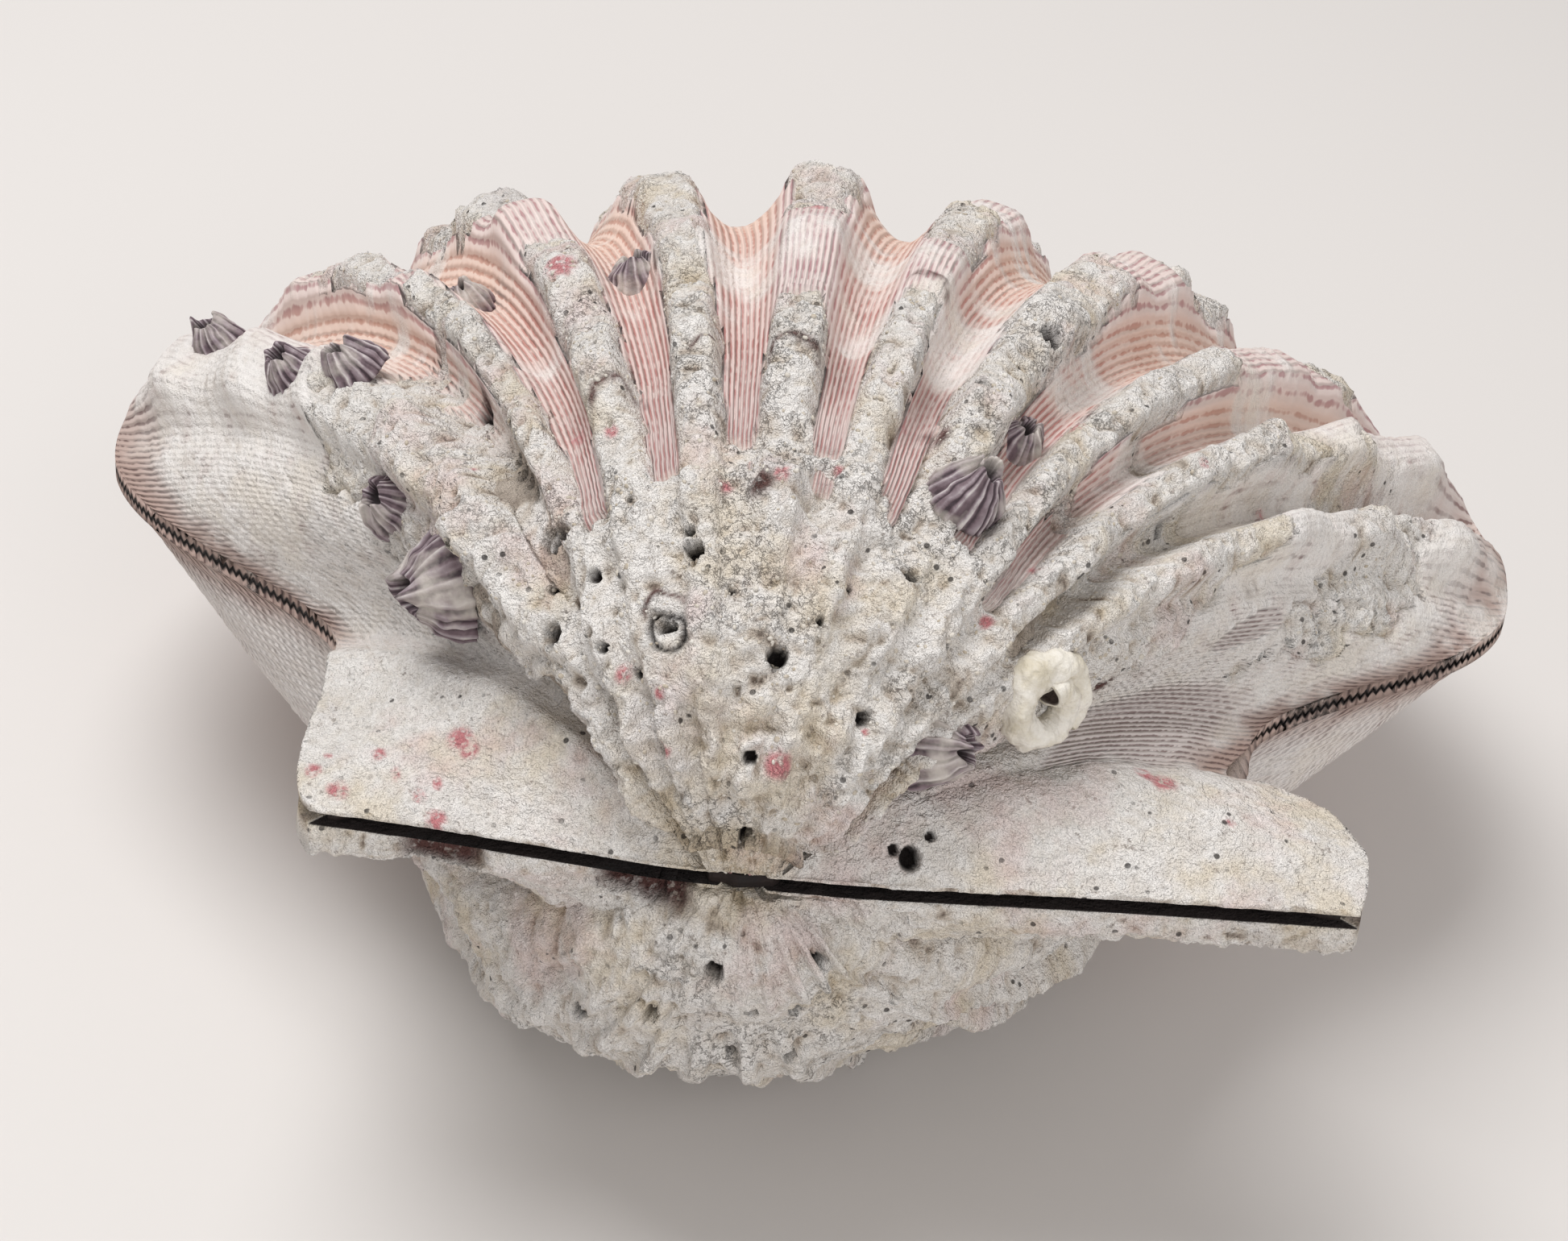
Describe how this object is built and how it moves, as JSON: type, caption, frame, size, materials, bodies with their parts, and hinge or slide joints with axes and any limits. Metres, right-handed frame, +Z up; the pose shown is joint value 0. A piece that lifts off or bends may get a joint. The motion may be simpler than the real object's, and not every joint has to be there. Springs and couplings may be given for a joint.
{
  "type": "scallop shell",
  "caption": "Closed pair of a large ribbed scallop shell with two ears, overgrown with crust, barnacles and a coiled worm tube, lying on its lower half",
  "frame": {"origin": "middle of the underside of the bounding box, on the floor", "axes": "+Z up, +X along the hinge to the longer ear, +Y from the hinge to the round edge"},
  "size_m": [0.153, 0.144, 0.0802],
  "materials": {
    "shell": "matte",
    "ligament": "matte",
    "barnacle": "matte",
    "worm_tube": "matte"
  },
  "bodies": {
    "root": {"upper_valve": "shell", "lower_valve": "shell", "hinge_ligament": "ligament", "barnacle_1": "barnacle", "barnacle_2": "barnacle", "barnacle_3": "barnacle", "barnacle_4": "barnacle", "barnacle_5": "barnacle", "barnacle_6": "barnacle", "barnacle_7": "barnacle", "barnacle_8": "barnacle", "barnacle_9": "barnacle", "barnacle_10": "barnacle", "worm_tube": "worm_tube"}
  },
  "joints": []
}
